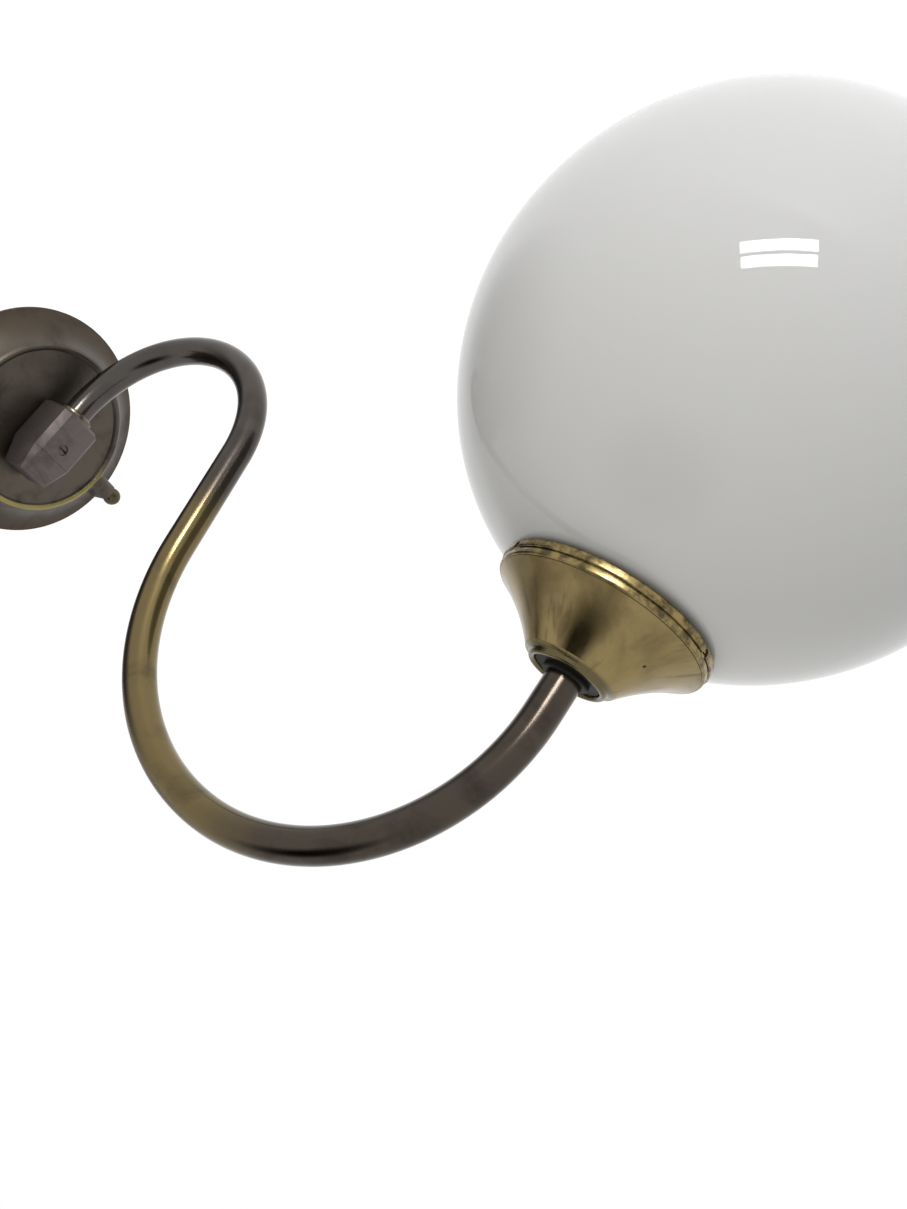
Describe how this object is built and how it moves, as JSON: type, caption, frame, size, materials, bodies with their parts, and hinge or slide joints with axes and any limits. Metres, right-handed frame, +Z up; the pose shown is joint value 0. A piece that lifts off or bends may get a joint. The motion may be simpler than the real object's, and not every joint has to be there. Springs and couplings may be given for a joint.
{
  "type": "hanging globe wall sconce",
  "caption": "Wall sconce with a swan-neck tube that swivels on a round canopy and hangs an opal glass ball from a flared brass gallery.",
  "frame": {"origin": "centre of the canopy and of the bracket's two wall holes, in the plane of the wall", "axes": "+Y into the wall, -Y out into the room along the arm, +Z up, +X to the right as seen from the room"},
  "size_m": [0.2, 0.409, 0.3228],
  "materials": {
    "zinc_steel": "zinc plated steel, satin",
    "white_plastic": "moulded, matt",
    "brass_inner": "turned brass, satin",
    "core_brown": "insulation, smooth",
    "core_blue": "insulation, smooth",
    "core_earth": "insulation, smooth",
    "flex_sheath": "round sheath, smooth",
    "canopy_bronze": "dull grey-brown patina with bright rubbed edge",
    "block_bronze": "cast, grey-brown patina",
    "ball_screw_brass": "tarnished, worn bright",
    "collar_brass": "worn bright",
    "tube_bronze": "dark brown patina, polished by handling",
    "black_ring": "matt black",
    "aged_brass": "aged brass with dark spots",
    "screw_dark": "blackened",
    "rubber_ring": "soft ring",
    "opal_glass": "opal white, glossy",
    "holder_brass": "spun brass, satin",
    "white_ceramic": "glazed ceramic",
    "bulb_nickel": "nickel plated",
    "black_vitrite": "black glass",
    "light_board": "white coated board",
    "bulb_opal": "frosted diffuser"
  },
  "bodies": {
    "wall_mount": {"wall_bracket": "zinc_steel", "terminal_block": "white_plastic", "terminal_sleeves": "brass_inner", "terminal_clamp_screws": "zinc_steel", "terminal_fixing_screw": "zinc_steel", "earth_lug": "zinc_steel", "earth_screw": "zinc_steel", "wall_core_live": "core_brown", "wall_core_neutral": "core_blue", "wall_core_earth": "core_earth", "wall_side_flex": "flex_sheath", "canopy": "canopy_bronze", "canopy_nipple": "brass_inner", "canopy_lock_washer": "zinc_steel", "canopy_nut": "brass_inner", "swivel_block": "block_bronze", "swivel_block_cap": "block_bronze"},
    "canopy_screw_left": {"canopy_screw_left": "ball_screw_brass"},
    "canopy_screw_right": {"canopy_screw_right": "ball_screw_brass"},
    "swivel_grub_screw": {"swivel_grub_screw": "block_bronze"},
    "arm": {"swivel_spigot": "brass_inner", "swivel_collar": "collar_brass", "arm_tube": "tube_bronze", "arm_flex": "flex_sheath", "lamp_nipple": "brass_inner", "neck_collar": "black_ring", "neck_seat_ring": "black_ring", "gallery_shell": "aged_brass", "gallery_band": "aged_brass", "gallery_lock_washer": "zinc_steel", "gallery_nut": "brass_inner", "glass_gasket": "rubber_ring", "glass_globe": "opal_glass", "lampholder_cap": "holder_brass", "lampholder_sleeve": "holder_brass", "lampholder_base": "white_ceramic", "lampholder_terminals": "brass_inner", "lamp_core_live": "core_brown", "lamp_core_neutral": "core_blue", "lamp_core_earth": "core_earth", "screw_shell": "brass_inner", "centre_contact": "brass_inner"},
    "gallery_screw_1": {"gallery_screw_1": "screw_dark"},
    "gallery_screw_2": {"gallery_screw_2": "screw_dark"},
    "gallery_screw_3": {"gallery_screw_3": "screw_dark"},
    "bulb": {"bulb_tip": "bulb_nickel", "bulb_insulator": "black_vitrite", "bulb_cap": "bulb_nickel", "bulb_housing": "white_plastic", "bulb_light_board": "light_board", "bulb_diffuser": "bulb_opal"}
  },
  "joints": [
    {"name": "arm_swivel", "type": "hinge", "parent": "wall_mount", "child": "arm", "pos_m": [0, -0.0232, 0], "axis": [0, 0, 1], "range_deg": [-60, 60]},
    {"name": "bulb_turn", "type": "hinge", "parent": "arm", "child": "bulb", "pos_m": [0, -0.30901, -0.074], "axis": [0, 0, 1], "continuous": true},
    {"name": "canopy_screw_left_out", "type": "slide", "parent": "wall_mount", "child": "canopy_screw_left", "axis": [-1, 0, 0], "range_m": [0, 0.012]},
    {"name": "canopy_screw_right_out", "type": "slide", "parent": "wall_mount", "child": "canopy_screw_right", "axis": [1, 0, 0], "range_m": [0, 0.012]},
    {"name": "swivel_grub_screw_out", "type": "slide", "parent": "wall_mount", "child": "swivel_grub_screw", "axis": [0, -1, 0], "range_m": [0, 0.002]},
    {"name": "gallery_screw_1_out", "type": "slide", "parent": "arm", "child": "gallery_screw_1", "axis": [0.766, 0.6428, 0], "range_m": [0, 0.0035]},
    {"name": "gallery_screw_2_out", "type": "slide", "parent": "arm", "child": "gallery_screw_2", "axis": [-0.9397, 0.342, 0], "range_m": [0, 0.0035]},
    {"name": "gallery_screw_3_out", "type": "slide", "parent": "arm", "child": "gallery_screw_3", "axis": [0.1736, -0.9848, 0], "range_m": [0, 0.0035]}
  ]
}
